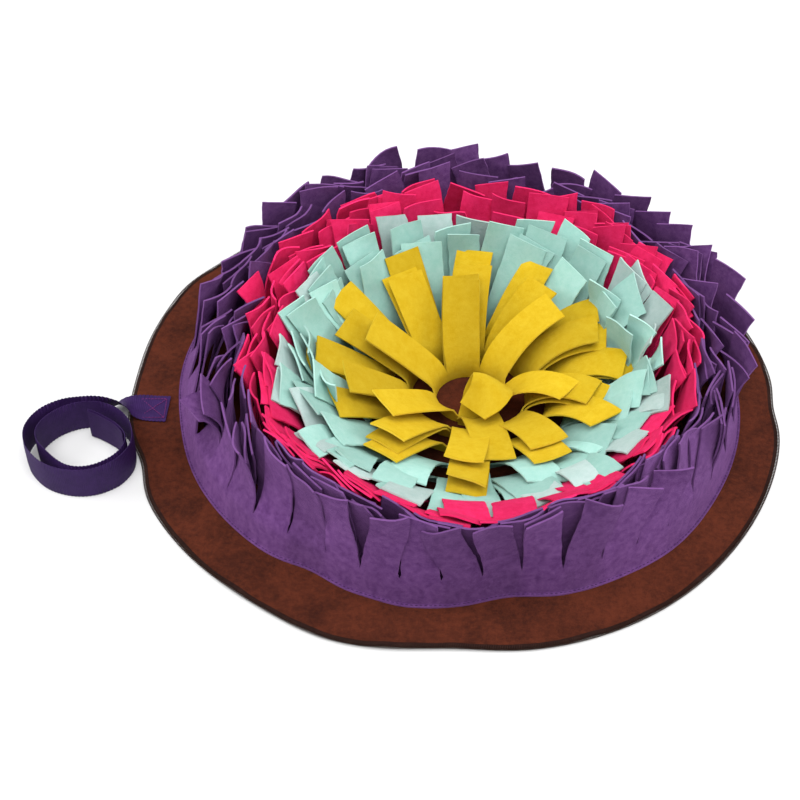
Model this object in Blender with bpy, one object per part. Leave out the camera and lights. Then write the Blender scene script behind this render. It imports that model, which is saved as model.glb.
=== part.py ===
"""Snuffle mat: a round felt base, twelve standing rings of cut felt tabs and a webbing strap.

Units are metres, +Z up. The origin is the middle of the base's underside, the front is -Y, and the strap
lies beside the left edge, at -X. Each ring is a strip of felt sewn on edge to the base: an uncut band below,
and square-cut tabs above it that lean outward, more so towards the middle of the mat.
"""

import math
import random
from typing import NamedTuple

import bpy
from mathutils import Vector

# Driving sizes.
BASE_RADIUS = 0.2500
BASE_THICK = 0.0026
BASE_SIDES = 96
FELT_THICK = 0.0015
SEWN_GAP = 0.0003
SLIT = 0.0012
OUTER_MIDDLE = Vector((0.0036, 0.0043))
INNER_MIDDLE = Vector((0.0128, -0.0091))
STRAP_WIDTH = 0.0280
STRAP_THICK = 0.0013
PATCH_LENGTH = 0.0400
PATCH_THICK = 0.0008

# How the tabs stray from their ring's even lean: shares and factors first, then limits.
LEAST_STRAY = 0.20
TWIST_SHARE = 0.55
FLATTEST = 0.3
MOST_CUPPED = 1.7
MOST_STRAY = 0.0090
MOST_TWIST = 40.0
MOST_SWAY = 0.0070
TIP_SKEW = 0.0035
LENGTH_CUT = 0.0080
ROOM_PIECES = 6


class Dent(NamedTuple):
    """A place where a round edge leaves its circle: outward where the reach is positive."""

    azimuth: float
    reach: float
    spread: float


class Row(NamedTuple):
    """A ring of felt strip. Its mean lean outward is given at four sides, in degrees.

    The lean is `bend` less than the mean at the root and `bend` more at the tip. `across` is the number of
    points on each face of a tab's section. The share of the free room that tabs use as they stray is
    `loose`, and `seed` settles how they do. A tab turns by -1 to 1 of its greatest twist, or by at least
    `least_turn`, so that tabs that all turn one way lap like shingles.
    """

    name: str
    colour: str
    radius: float
    height: float
    band: float
    tabs: int
    steps: int
    across: int
    loose: float
    seed: int
    least_turn: float
    bend: float
    right: float
    back: float
    left: float
    front: float


class Curl(NamedTuple):
    """Tabs of a ring between two azimuths that curl over, from one lean to another, in degrees."""

    row: str
    start: float
    end: float
    steps: int
    root: float
    tip: float
    spread: float


class StrapPoint(NamedTuple):
    """A point of the strap's middle line. The roll is 0 where it lies flat and -90 where it is on edge."""

    x: float
    y: float
    z: float
    roll: float


BASE_DENTS = (
    Dent(-111, 0.0032, 9),
    Dent(-91, -0.0048, 9),
    Dent(-60, 0.0026, 16),
    Dent(-4, -0.0034, 5),
    Dent(149, 0.0036, 7),
    Dent(176, -0.0026, 10),
    Dent(198, -0.0060, 6),
)

SKIRT_DENTS = (
    Dent(-120, -0.0050, 6),
    Dent(-101, 0.0020, 5),
    Dent(-82, -0.0080, 8),
    Dent(-48, 0.0030, 12),
    Dent(-170, -0.0030, 14),
)

ROWS = (
    #    name, colour, radius, height, band, tabs, steps, across, loose, seed, least_turn, bend, right..front
    Row("purple_row_1", "purple", 0.2145, 0.088, 0.023, 44, 3, 2, 1.5, 0, 0.4, 4, 1, -9, -9, 0),
    Row("purple_row_2", "purple", 0.1970, 0.086, 0.016, 40, 3, 2, 1.8, 2, -1, 5, 5, -5, -5, 4),
    Row("purple_row_3", "purple", 0.1800, 0.086, 0.016, 36, 3, 2, 2.2, 1, -1, 6, 9, -1, -1, 9),
    Row("pink_row_1", "pink", 0.1630, 0.086, 0.016, 33, 3, 2, 2.0, 49, -1, 7, 14, 3, 3, 16),
    Row("pink_row_2", "pink", 0.1460, 0.086, 0.016, 30, 3, 2, 2.2, 1, -1, 8, 18, 7, 8, 22),
    Row("pink_row_3", "pink", 0.1290, 0.086, 0.016, 26, 3, 2, 2.0, 4, -1, 10, 23, 9, 14, 29),
    Row("mint_row_1", "mint", 0.1120, 0.088, 0.014, 23, 3, 3, 1.7, 26, -1, 12, 28, 12, 20, 36),
    Row("mint_row_2", "mint", 0.0950, 0.088, 0.014, 19, 3, 3, 1.6, 143, -1, 14, 32, 14, 24, 42),
    Row("mint_row_3", "mint", 0.0780, 0.086, 0.014, 16, 4, 3, 1.3, 52, -1, 16, 37, 17, 29, 47),
    Row("yellow_row_1", "yellow", 0.0610, 0.082, 0.012, 12, 4, 3, 1.7, 48, -1, 18, 41, 21, 34, 51),
    Row("yellow_row_2", "yellow", 0.0445, 0.082, 0.012, 9, 4, 3, 1.5, 22, -1, 20, 45, 26, 39, 54),
    Row("yellow_row_3", "yellow", 0.0260, 0.082, 0.010, 6, 4, 3, 1.5, 3, -1, 23, 49, 32, 44, 57),
)

CURLS = (
    #    row             from  to   steps root tip spread
    Curl("purple_row_1", 186, 246, 4, -18, 16, 12),
    Curl("purple_row_1", 262, 276, 4, -4, 30, 10),
    Curl("purple_row_1", 340, 372, 4, -1, 14, 8),
    Curl("yellow_row_3", 290, 345, 7, -34, 140, 0),
)

FLAT_Z = BASE_THICK + 1.5 * SEWN_GAP + STRAP_THICK / 2
EDGE_Z = STRAP_WIDTH / 2
ROUTE_STEPS = 2

STRAP_ROUTE = (
    # the flat end, sewn on the base
    StrapPoint(-0.2180, -0.0205, FLAT_Z, 0),
    StrapPoint(-0.2290, -0.0200, FLAT_Z, 0),
    StrapPoint(-0.2390, -0.0197, FLAT_Z + 0.0014, -3),
    # over the base's edge, turning until its front edge is on top
    StrapPoint(-0.2470, -0.0204, 0.0078, -15),
    StrapPoint(-0.2535, -0.0228, 0.0110, -38),
    StrapPoint(-0.2600, -0.0262, 0.0132, -62),
    StrapPoint(-0.2690, -0.0300, 0.0140, -84),
    # first turn: back, left, front, right
    StrapPoint(-0.2806, -0.0320, EDGE_Z, -90),
    StrapPoint(-0.2940, -0.0349, EDGE_Z, -90),
    StrapPoint(-0.3064, -0.0429, EDGE_Z, -90),
    StrapPoint(-0.3139, -0.0538, EDGE_Z, -90),
    StrapPoint(-0.3167, -0.0671, EDGE_Z, -90),
    StrapPoint(-0.3131, -0.0815, EDGE_Z, -90),
    StrapPoint(-0.3051, -0.0931, EDGE_Z, -90),
    StrapPoint(-0.2953, -0.1015, EDGE_Z, -90),
    StrapPoint(-0.2830, -0.1066, EDGE_Z, -90),
    StrapPoint(-0.2700, -0.1080, EDGE_Z, -90),
    StrapPoint(-0.2574, -0.1052, EDGE_Z, -90),
    StrapPoint(-0.2455, -0.0975, EDGE_Z, -90),
    StrapPoint(-0.2384, -0.0867, EDGE_Z, -90),
    StrapPoint(-0.2362, -0.0763, EDGE_Z, -90),
    StrapPoint(-0.2372, -0.0658, EDGE_Z, -90),
    StrapPoint(-0.2425, -0.0564, EDGE_Z, -90),
    # second turn, inside the first, cutting across from the left to the front
    StrapPoint(-0.2520, -0.0480, EDGE_Z, -90),
    StrapPoint(-0.2650, -0.0415, EDGE_Z, -90),
    StrapPoint(-0.2793, -0.0395, EDGE_Z, -90),
    StrapPoint(-0.2921, -0.0431, EDGE_Z, -90),
    StrapPoint(-0.3010, -0.0511, EDGE_Z, -90),
    StrapPoint(-0.3065, -0.0605, EDGE_Z, -90),
    StrapPoint(-0.3076, -0.0697, EDGE_Z, -90),
    StrapPoint(-0.3040, -0.0790, EDGE_Z, -90),
    StrapPoint(-0.2965, -0.0880, EDGE_Z, -90),
    StrapPoint(-0.2870, -0.0975, EDGE_Z, -90),
    StrapPoint(-0.2780, -0.1030, EDGE_Z, -90),
    StrapPoint(-0.2680, -0.1042, EDGE_Z, -90),
    StrapPoint(-0.2580, -0.1012, EDGE_Z, -90),
    StrapPoint(-0.2480, -0.0938, EDGE_Z, -90),
    StrapPoint(-0.2423, -0.0850, EDGE_Z, -90),
    # the free end, turned in from the right
    StrapPoint(-0.2408, -0.0765, EDGE_Z, -90),
    StrapPoint(-0.2430, -0.0685, EDGE_Z, -90),
    StrapPoint(-0.2490, -0.0608, EDGE_Z, -90),
    StrapPoint(-0.2565, -0.0548, EDGE_Z, -90),
    StrapPoint(-0.2650, -0.0492, EDGE_Z, -90),
    StrapPoint(-0.2728, -0.0452, EDGE_Z, -90),
)

COLOURS = {
    "brown": (0.098, 0.030, 0.010),
    "purple": (0.110, 0.035, 0.250),
    "pink": (0.800, 0.010, 0.130),
    "mint": (0.360, 0.720, 0.600),
    "yellow": (0.850, 0.560, 0.020),
    "webbing": (0.055, 0.016, 0.200),
}


def clear_scene():
    for obj in list(bpy.data.objects):
        bpy.data.objects.remove(obj, do_unlink=True)


def cloth_material(name, roughness):
    material = bpy.data.materials.new(name)
    material.use_nodes = True
    shader = material.node_tree.nodes["Principled BSDF"]
    shader.inputs["Base Color"].default_value = (*COLOURS[name], 1.0)
    shader.inputs["Roughness"].default_value = roughness
    shader.inputs["Metallic"].default_value = 0.0
    return material


def add_solid(name, points, faces, colour, roughness=0.95):
    mesh = bpy.data.meshes.new(name)
    mesh.from_pydata([tuple(p) for p in points], [], faces)
    mesh.update()
    mesh.materials.append(cloth_material(colour, roughness))
    obj = bpy.data.objects.new(name, mesh)
    bpy.context.scene.collection.objects.link(obj)
    return obj


def dented(radius, dents, azimuth):
    """The radius at this azimuth, in radians, with each dent as a soft bump or hollow."""
    for dent in dents:
        away = math.degrees(azimuth) - dent.azimuth
        away = (away + 180) % 360 - 180
        radius += dent.reach * math.exp(-((away / dent.spread) ** 2))
    return radius


# ---- base ----


def make_base():
    points = []
    for z in (0.0, BASE_THICK):
        for k in range(BASE_SIDES):
            azimuth = math.tau * k / BASE_SIDES
            radius = dented(BASE_RADIUS, BASE_DENTS, azimuth)
            points.append((radius * math.cos(azimuth), radius * math.sin(azimuth), z))
    faces = [tuple(reversed(range(BASE_SIDES))), tuple(range(BASE_SIDES, 2 * BASE_SIDES))]
    for k in range(BASE_SIDES):
        after = (k + 1) % BASE_SIDES
        faces.append((k, after, after + BASE_SIDES, k + BASE_SIDES))
    return add_solid("base_mat", points, faces, "brown")


# ---- rings of tabs ----


def row_middle(row):
    """The rings' middles drift from the outermost ring's to the innermost's."""
    outer, inner = ROWS[0].radius, ROWS[-1].radius
    return INNER_MIDDLE.lerp(OUTER_MIDDLE, (row.radius - inner) / (outer - inner))


def mean_lean(row, azimuth):
    """The ring's mean lean at this azimuth, in radians, blended between its four sides."""
    sides = (row.right, row.back, row.left, row.front)
    quarter = (azimuth % math.tau) / (math.tau / 4)
    first = int(quarter) % 4
    share = (1 - math.cos(math.pi * (quarter - int(quarter)))) / 2
    return math.radians(sides[first] * (1 - share) + sides[(first + 1) % 4] * share)


def lean_at(row, azimuth, along):
    """The lean at this distance up the strip, and its mean from the root to there."""
    mean, bend = mean_lean(row, azimuth), math.radians(row.bend)
    share = along / row.height
    return mean - bend + 2 * bend * share, mean - bend + bend * share


def row_radius(row, azimuth):
    return dented(row.radius, SKIRT_DENTS if row is ROWS[0] else (), azimuth)


def profile(row, azimuth, along):
    """Radius and height of the ring's mean surface, this far up the strip."""
    mean = lean_at(row, azimuth, along)[1]
    return row_radius(row, azimuth) + along * math.sin(mean), along * math.cos(mean)


def distance_to_run(point, run):
    """The least distance from a point to a run of straight pieces, all in radius and height."""
    least = math.inf
    for a, b in zip(run, run[1:]):
        ab = (b[0] - a[0], b[1] - a[1])
        ap = (point[0] - a[0], point[1] - a[1])
        t = (ap[0] * ab[0] + ap[1] * ab[1]) / (ab[0] ** 2 + ab[1] ** 2)
        t = min(1.0, max(0.0, t))
        least = min(least, math.dist(point, (a[0] + ab[0] * t, a[1] + ab[1] * t)))
    return least


def room(row, other, azimuth, along):
    """How far this ring may stray towards another: its share of what is free between the two."""
    if other is None:
        return MOST_STRAY
    run = [profile(other, azimuth, other.height * i / ROOM_PIECES) for i in range(ROOM_PIECES + 1)]
    point = profile(row, azimuth, along)
    inner = row if row.radius < other.radius else other
    # the corners of flat tabs stand out from their ring's round surface
    corners = (inner.radius * math.pi / inner.tabs) ** 2 / 2 / profile(inner, azimuth, along)[0]
    free = distance_to_run(point, run) - FELT_THICK - SEWN_GAP - (corners if inner.across == 2 else 0.0)
    return min(MOST_STRAY, max(0.0, free / 2) * row.loose)


def surface_frame(row, azimuth, along):
    """A point of the ring's mean surface with its outward, sideways and upward directions there."""
    radius, height = profile(row, azimuth, along)
    lean = lean_at(row, azimuth, along)[0]
    out = Vector((math.cos(azimuth), math.sin(azimuth), 0.0))
    side = Vector((-math.sin(azimuth), math.cos(azimuth), 0.0))
    middle = row_middle(row).to_3d()
    point = middle + out * radius + Vector((0, 0, BASE_THICK + SEWN_GAP + height))
    upward = out * math.sin(lean) + Vector((0, 0, math.cos(lean)))
    return point, side.cross(upward), side, upward


def band_section(row, azimuth, half_angle, along):
    """The uncut band's section below one tab: its inner points one way, then its outer points back."""
    inner, outer = [], []
    for i in range(row.across):
        point, out, _, _ = surface_frame(row, azimuth + half_angle * (2 * i / (row.across - 1) - 1), along)
        if along == 0.0:
            out = Vector((out.x, out.y, 0.0)).normalized()
        inner.append(point - out * (FELT_THICK / 2))
        outer.insert(0, point + out * (FELT_THICK / 2))
    return inner + outer


def tab_section(row, point, across, out, half, cup, slant):
    """A tab's section, in the band section's order. Its edges lie `cup` inside its middle."""
    inner, outer = [], []
    for i in range(row.across):
        side = 2 * i / (row.across - 1) - 1
        place = point + across * half * side + slant * side - out * cup * side**2
        inner.append(place - out * (FELT_THICK / 2))
        outer.insert(0, place + out * (FELT_THICK / 2))
    return inner + outer


def straying_tab(row, azimuth, half_angle, outward, draw):
    """The sections of one tab from just above the band to its tip.

    Neighbouring tabs stray to opposite sides of the ring's mean surface, so that they can pass each other.
    """
    index = ROWS.index(row)
    outer = ROWS[index - 1] if index else None
    inner = ROWS[index + 1] if index + 1 < len(ROWS) else None
    half_width = row.radius * math.sin(half_angle)
    stray = draw.uniform(LEAST_STRAY, 1) * (1 if outward else -1)
    twist = draw.uniform(row.least_turn, 1)
    sway = draw.uniform(-1, 1)
    cupping = draw.uniform(FLATTEST, MOST_CUPPED)
    skew = draw.uniform(-TIP_SKEW, TIP_SKEW)
    length = row.height - draw.uniform(0, LENGTH_CUT)
    sections = []
    for step in range(1, row.steps + 1):
        share = step / row.steps
        along = row.band + (length - row.band) * share
        point, out, side, upward = surface_frame(row, azimuth, along)
        radius = profile(row, azimuth, along)[0]
        open_width = radius * math.tan(math.pi / row.tabs) - SLIT / 2
        half = min(half_width, open_width)
        room_out, room_in = room(row, outer, azimuth, along), room(row, inner, azimuth, along)
        offset = stray * (room_out if outward else room_in) * share * (1 - TWIST_SHARE)
        lift = min(room_out, room_in) * TWIST_SHARE * share
        angle = twist * min(math.radians(MOST_TWIST), math.asin(min(1.0, lift / half)))
        spare = min(open_width - half + abs(offset) / 2, MOST_SWAY)
        point += out * offset + side * spare * sway * share
        across = side * math.cos(angle) + out * math.sin(angle)
        cup = half**2 / 2 / radius * (1 + (cupping - 1) * share) if row.across > 2 else 0.0
        slant = upward * (skew if step == row.steps else 0.0)
        out = out * math.cos(angle) - side * math.sin(angle)
        sections.append(tab_section(row, point, across, out, half, cup, slant))
    return sections


def curled_tab(row, curl, azimuth, half_angle, draw):
    """The sections of one tab that bends over evenly from the curl's root lean to its tip lean."""
    point, _, side, _ = surface_frame(row, azimuth, row.band)
    level = Vector((math.cos(azimuth), math.sin(azimuth), 0.0))
    turn = curl.tip + draw.uniform(-curl.spread, curl.spread) - curl.root
    stretch = (row.height - row.band) / curl.steps
    sections = []
    for step in range(1, curl.steps + 1):
        middle = math.radians(curl.root + turn * (step - 0.5) / curl.steps)
        end = math.radians(curl.root + turn * step / curl.steps)
        point = point + (level * math.sin(middle) + Vector((0, 0, math.cos(middle)))) * stretch
        out = level * math.cos(end) - Vector((0, 0, math.sin(end)))
        radius = (point.to_2d() - row_middle(row)).length
        half = min(row.radius, radius) * math.sin(half_angle)
        sections.append(tab_section(row, point, side, out, half, 0.0, Vector()))
    return sections


def curl_for(row, azimuth):
    for curl in CURLS:
        if curl.row == row.name and (math.degrees(azimuth) - curl.start) % 360 <= curl.end - curl.start:
            return curl
    return None


def quads(lower, upper, pairs):
    """Faces between two sections, one for each pair of neighbouring places in them."""
    return [(lower[j], lower[i], upper[i], upper[j]) for i, j in pairs]


def ring_mesh(row):
    """The points and faces of one ring: the band all round, then each tab up to its tip."""
    draw = random.Random(f"{row.name} {row.seed}")
    pitch = math.tau / row.tabs
    half_angle = pitch / 2 - SLIT / 2 / row.radius
    start = draw.uniform(0, pitch)
    azimuths = [start + pitch * k for k in range(row.tabs)]
    size = 2 * row.across
    last = row.across - 1
    round_it = [(i, (i + 1) % size) for i in range(size)]
    walls = [(i, j) for i, j in round_it if i != last and j != 0]
    points, faces = [], []
    for azimuth in azimuths:
        for along in (0.0, row.band):
            points += band_section(row, azimuth, half_angle, along)
    for k, azimuth in enumerate(azimuths):
        foot = list(range(2 * size * k, 2 * size * k + size))
        top = [i + size for i in foot]
        after = 2 * size * ((k + 1) % row.tabs)
        next_foot, next_top = list(range(after, after + size)), list(range(after + size, after + 2 * size))
        faces += quads(foot, top, walls)
        faces += [(foot[i], foot[i + 1], foot[size - 2 - i], foot[size - 1 - i]) for i in range(last)]
        # the bridge below the slit to the next tab
        faces += [
            (foot[last], next_foot[0], next_foot[-1], foot[last + 1]),
            (foot[last], top[last], next_top[0], next_foot[0]),
            (foot[last + 1], next_foot[-1], next_top[-1], top[last + 1]),
            (top[last], top[last + 1], next_top[-1], next_top[0]),
        ]
        curl = curl_for(row, azimuth)
        if curl:
            sections = curled_tab(row, curl, azimuth, half_angle, draw)
        else:
            sections = straying_tab(row, azimuth, half_angle, k % 2 == 0, draw)
        lower = top
        for section in sections:
            upper = list(range(len(points), len(points) + size))
            points += section
            faces += quads(lower, upper, round_it)
            lower = upper
        faces += [(lower[i + 1], lower[i], lower[size - 1 - i], lower[size - 2 - i]) for i in range(last)]
    return points, faces


# ---- strap ----


def smooth_route(route, steps):
    """Catmull-Rom points through the route, this many to each stretch."""
    rows = [Vector(p) for p in route]
    rows = [rows[0] * 2 - rows[1]] + rows + [rows[-1] * 2 - rows[-2]]
    found = []
    for a, b, c, d in zip(rows, rows[1:], rows[2:], rows[3:]):
        for step in range(steps):
            t = step / steps
            found.append(
                0.5 * (2 * b + (c - a) * t + (2 * a - 5 * b + 4 * c - d) * t**2
                + (3 * b - a - 3 * c + d) * t**3)
            )
    return found + [rows[-2]]


def ribbon_frames(points):
    """Middle, width direction and face direction at each point. The face looks up, then out of the loop."""
    frames = []
    for i, p in enumerate(points):
        ahead, behind = points[min(i + 1, len(points) - 1)], points[max(i - 1, 0)]
        along = Vector((ahead.x - behind.x, ahead.y - behind.y, 0)).normalized()
        side = along.cross(Vector((0, 0, 1)))
        roll = math.radians(p.w)
        across = side * math.cos(roll) + Vector((0, 0, math.sin(roll)))
        face = Vector((0, 0, math.cos(roll))) - side * math.sin(roll)
        frames.append((p.to_3d(), across, face))
    return frames


def add_ribbon(name, frames, width, low, high, colour, roughness):
    """A flat ribbon along the frames, from low to high along its face direction."""
    points, faces = [], []
    for middle, across, face in frames:
        edge = across * (width / 2)
        points += [middle - edge + face * low, middle + edge + face * low]
        points += [middle + edge + face * high, middle - edge + face * high]
    last = len(points) - 4
    faces = [(0, 1, 2, 3), (last + 3, last + 2, last + 1, last)]
    for at in range(0, last, 4):
        for i in range(4):
            j = (i + 1) % 4
            faces.append((at + j, at + i, at + i + 4, at + j + 4))
    return add_solid(name, points, faces, colour, roughness)


def make_strap():
    frames = ribbon_frames(smooth_route([Vector(p) for p in STRAP_ROUTE], ROUTE_STEPS))
    half = STRAP_THICK / 2
    add_ribbon("carry_strap", frames, STRAP_WIDTH, -half, half, "webbing", 0.6)
    run, first = 0.0, len(frames) - 1
    while run < PATCH_LENGTH:
        run += (frames[first][0] - frames[first - 1][0]).length
        first -= 1
    inside = -half - SEWN_GAP
    width = STRAP_WIDTH - 2 * PATCH_THICK
    add_ribbon("strap_patch", frames[first:], width, inside - PATCH_THICK, inside, "webbing", 0.8)


clear_scene()
make_base()
for ring in ROWS:
    add_solid(ring.name, *ring_mesh(ring), ring.colour)
make_strap()
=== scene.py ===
import math
import random
from typing import NamedTuple

import bpy
import numpy as np
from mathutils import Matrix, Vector


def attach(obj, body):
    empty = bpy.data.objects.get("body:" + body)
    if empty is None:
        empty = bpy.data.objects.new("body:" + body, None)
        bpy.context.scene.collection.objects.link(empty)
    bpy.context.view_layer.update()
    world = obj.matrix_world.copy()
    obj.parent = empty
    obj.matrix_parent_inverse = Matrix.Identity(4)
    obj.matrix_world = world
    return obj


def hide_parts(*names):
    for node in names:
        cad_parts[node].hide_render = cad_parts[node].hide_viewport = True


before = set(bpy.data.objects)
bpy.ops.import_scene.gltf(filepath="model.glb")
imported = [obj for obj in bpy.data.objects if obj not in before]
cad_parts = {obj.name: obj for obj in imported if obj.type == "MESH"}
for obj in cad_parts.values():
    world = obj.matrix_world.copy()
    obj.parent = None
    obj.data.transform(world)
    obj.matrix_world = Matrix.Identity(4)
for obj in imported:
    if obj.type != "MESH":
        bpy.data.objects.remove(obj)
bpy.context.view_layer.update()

# ---- camera, floor and light ----
# The camera looks down on the mat from the front, over a plain white floor. A wide light overhead, a soft
# light at either side and a white room around them give the even shading of a studio table.

ELEVATION = math.radians(43.82)
DISTANCE = 1.1611
AIM = Vector((-0.0405, -0.0069, 0.0))

camera = bpy.data.objects.new("camera", bpy.data.cameras.new("camera"))
camera.data.sensor_width = 36.0
camera.data.lens = 67.5
camera.data.clip_end = 50.0
camera.location = AIM - DISTANCE * Vector((0.0, math.cos(ELEVATION), -math.sin(ELEVATION)))
camera.rotation_euler = (math.pi / 2 - ELEVATION, 0.0, 0.0)
bpy.context.scene.collection.objects.link(camera)
bpy.context.scene.camera = camera
bpy.context.scene.view_settings.view_transform = "Standard"

room = bpy.data.worlds.new("white_room")
room.use_nodes = True
room.node_tree.nodes["Background"].inputs["Color"].default_value = (1.0, 1.0, 1.0, 1.0)
room.node_tree.nodes["Background"].inputs["Strength"].default_value = 0.36
bpy.context.scene.world = room


def soft_light(name, place, size, power):
    """A square light at this place that faces the middle of the mat."""
    light = bpy.data.objects.new(name, bpy.data.lights.new(name, "AREA"))
    light.data.size = size
    light.data.energy = power
    light.location = place
    light.rotation_euler = (-Vector(place)).to_track_quat("-Z", "Y").to_euler()
    bpy.context.scene.collection.objects.link(light)


sky = bpy.data.objects.new("ceiling_light", bpy.data.lights.new("ceiling_light", "SUN"))
sky.data.energy = 4.1
sky.data.angle = math.radians(60)
sky.rotation_euler = Vector((0.03, -0.34, 1.0)).to_track_quat("Z", "Y").to_euler()
bpy.context.scene.collection.objects.link(sky)
soft_light("left_light", (-1.4, 0.05, 0.7), 0.8, 11.0)
soft_light("right_light", (1.4, 0.0, 0.7), 0.8, 12.0)

floor_mesh = bpy.data.meshes.new("floor")
floor_mesh.from_pydata([(-8, -8, 0), (8, -8, 0), (8, 8, 0), (-8, 8, 0)], [], [(0, 1, 2, 3)])
floor_paint = bpy.data.materials.new("floor_paint")
floor_paint.use_nodes = True
floor_paint.node_tree.nodes["Principled BSDF"].inputs["Base Color"].default_value = (0.60, 0.60, 0.60, 1.0)
floor_paint.node_tree.nodes["Principled BSDF"].inputs["Roughness"].default_value = 0.9
floor_mesh.materials.append(floor_paint)
floor = bpy.data.objects.new("floor", floor_mesh)
floor.location.z = -0.0004
bpy.context.scene.collection.objects.link(floor)

# ---- round base ----
# One disc of thick brown felt that lies on the floor, a little wrinkled towards its rim. It carries every
# ring. Its lighter and darker patches are painted into its colour: partly the felt's own mottling, partly
# painted sheen and shade of its nap brushed both ways.

BASE_RADIUS = 0.2500
BASE_THICK = 0.0026
BASE_DENTS = (
    # azimuth, reach outward, spread
    (-111, 0.0032, 9),
    (-91, -0.0048, 9),
    (-60, 0.0026, 16),
    (-4, -0.0034, 5),
    (149, 0.0036, 7),
    (176, -0.0026, 10),
    (198, -0.0060, 6),
)
BASE_TURNS = 360
BASE_RINGS = 34
RIM_WIDTH = 0.0026


def socket(group, name, kind, way, default=None):
    made = group.interface.new_socket(name=name, in_out=way, socket_type="NodeSocket" + kind)
    if default is not None:
        made.default_value = default


def node(tree, kind, **settings):
    """A node with these settings. A setting whose name is one of its inputs is that input's value."""
    made = tree.nodes.new(kind)
    for name, value in settings.items():
        if name in made.inputs:
            made.inputs[name].default_value = value
        else:
            setattr(made, name, value)
    return made


def make_nap_group():
    """Felt's surface: soft mottling of the colour, fine fibres, and their height for a bump."""
    group = bpy.data.node_groups.new("felt_nap", "ShaderNodeTree")
    socket(group, "Colour", "Color", "INPUT", (0.5, 0.5, 0.5, 1.0))
    socket(group, "Light", "Color", "INPUT", (0.6, 0.6, 0.6, 1.0))
    socket(group, "Mottling", "Float", "INPUT", 0.3)
    socket(group, "Patch scale", "Float", "INPUT", 45.0)
    socket(group, "Fibre scale", "Float", "INPUT", 1400.0)
    socket(group, "Colour", "Color", "OUTPUT")
    socket(group, "Height", "Float", "OUTPUT")
    given, put = node(group, "NodeGroupInput"), node(group, "NodeGroupOutput")
    place = node(group, "ShaderNodeTexCoord").outputs["Object"]
    link = group.links.new

    def noise(scale, detail, distortion=0.0):
        made = node(group, "ShaderNodeTexNoise", Detail=detail, Distortion=distortion, Roughness=0.6)
        link(place, made.inputs["Vector"])
        if isinstance(scale, (int, float)):
            made.inputs["Scale"].default_value = scale
        else:
            link(scale, made.inputs["Scale"])
        return made.outputs["Fac"]

    def sum_of(first, second, share, operation="MULTIPLY_ADD"):
        made = node(group, "ShaderNodeMath", operation=operation)
        link(first, made.inputs[0])
        made.inputs[1].default_value = share
        link(second, made.inputs[2])
        return made.outputs[0]

    patches = noise(given.outputs["Patch scale"], 3.0, 0.4)
    specks = noise(260.0, 3.0)
    fibres = noise(given.outputs["Fibre scale"], 4.0, 1.2)
    mixed = sum_of(specks, patches, 0.80)
    mixed = sum_of(fibres, mixed, 0.90)
    spread = node(group, "ShaderNodeMapRange")
    link(mixed, spread.inputs["Value"])
    spread.inputs["From Min"].default_value = 1.05
    spread.inputs["From Max"].default_value = 1.65
    amount = node(group, "ShaderNodeMath", operation="MULTIPLY")
    link(spread.outputs["Result"], amount.inputs[0])
    link(given.outputs["Mottling"], amount.inputs[1])
    blend = node(group, "ShaderNodeMix", data_type="RGBA")
    link(amount.outputs[0], blend.inputs["Factor"])
    link(given.outputs["Colour"], blend.inputs["A"])
    link(given.outputs["Light"], blend.inputs["B"])
    link(blend.outputs["Result"], put.inputs["Colour"])
    link(sum_of(specks, fibres, 0.5), put.inputs["Height"])
    return group


def felt(name, colour, light, mottling, patch_scale, sheen, bump=0.0005, tone_spread=0.0):
    """A felt of one colour. Its pieces may carry a tone, from 0 to 1, that darkens or lightens them."""
    material = bpy.data.materials.new(name)
    material.use_nodes = True
    tree = material.node_tree
    shader = tree.nodes["Principled BSDF"]
    nap = node(tree, "ShaderNodeGroup", node_tree=bpy.data.node_groups.get("felt_nap") or make_nap_group())
    nap.inputs["Colour"].default_value = (*colour, 1.0)
    nap.inputs["Light"].default_value = (*light, 1.0)
    nap.inputs["Mottling"].default_value = mottling
    nap.inputs["Patch scale"].default_value = patch_scale
    tint = nap.outputs["Colour"]
    if tone_spread:
        tone = node(tree, "ShaderNodeAttribute", attribute_name="tone")
        value = node(tree, "ShaderNodeMapRange")
        value.inputs["To Min"].default_value = 1 - tone_spread
        value.inputs["To Max"].default_value = 1 + tone_spread
        tree.links.new(tone.outputs["Fac"], value.inputs["Value"])
        shift = node(tree, "ShaderNodeHueSaturation")
        tree.links.new(value.outputs["Result"], shift.inputs["Value"])
        tree.links.new(tint, shift.inputs["Color"])
        tint = shift.outputs["Color"]
    tree.links.new(tint, shader.inputs["Base Color"])
    bumps = node(tree, "ShaderNodeBump", Strength=0.9, Distance=bump)
    tree.links.new(nap.outputs["Height"], bumps.inputs["Height"])
    tree.links.new(bumps.outputs["Normal"], shader.inputs["Normal"])
    shader.inputs["Roughness"].default_value = 0.95
    shader.inputs["Specular IOR Level"].default_value = 0.15
    shader.inputs["Sheen Weight"].default_value = sheen
    shader.inputs["Sheen Roughness"].default_value = 0.6
    shader.inputs["Sheen Tint"].default_value = (*light, 1.0)
    return material


def dented(radius, dents, azimuth):
    """The radius at these azimuths, in radians, with each dent as a soft bump or hollow."""
    radius = radius + np.zeros_like(azimuth)
    for at, reach, spread in dents:
        away = (np.degrees(azimuth) - at + 180) % 360 - 180
        radius = radius + reach * np.exp(-((away / spread) ** 2))
    return radius


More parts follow.
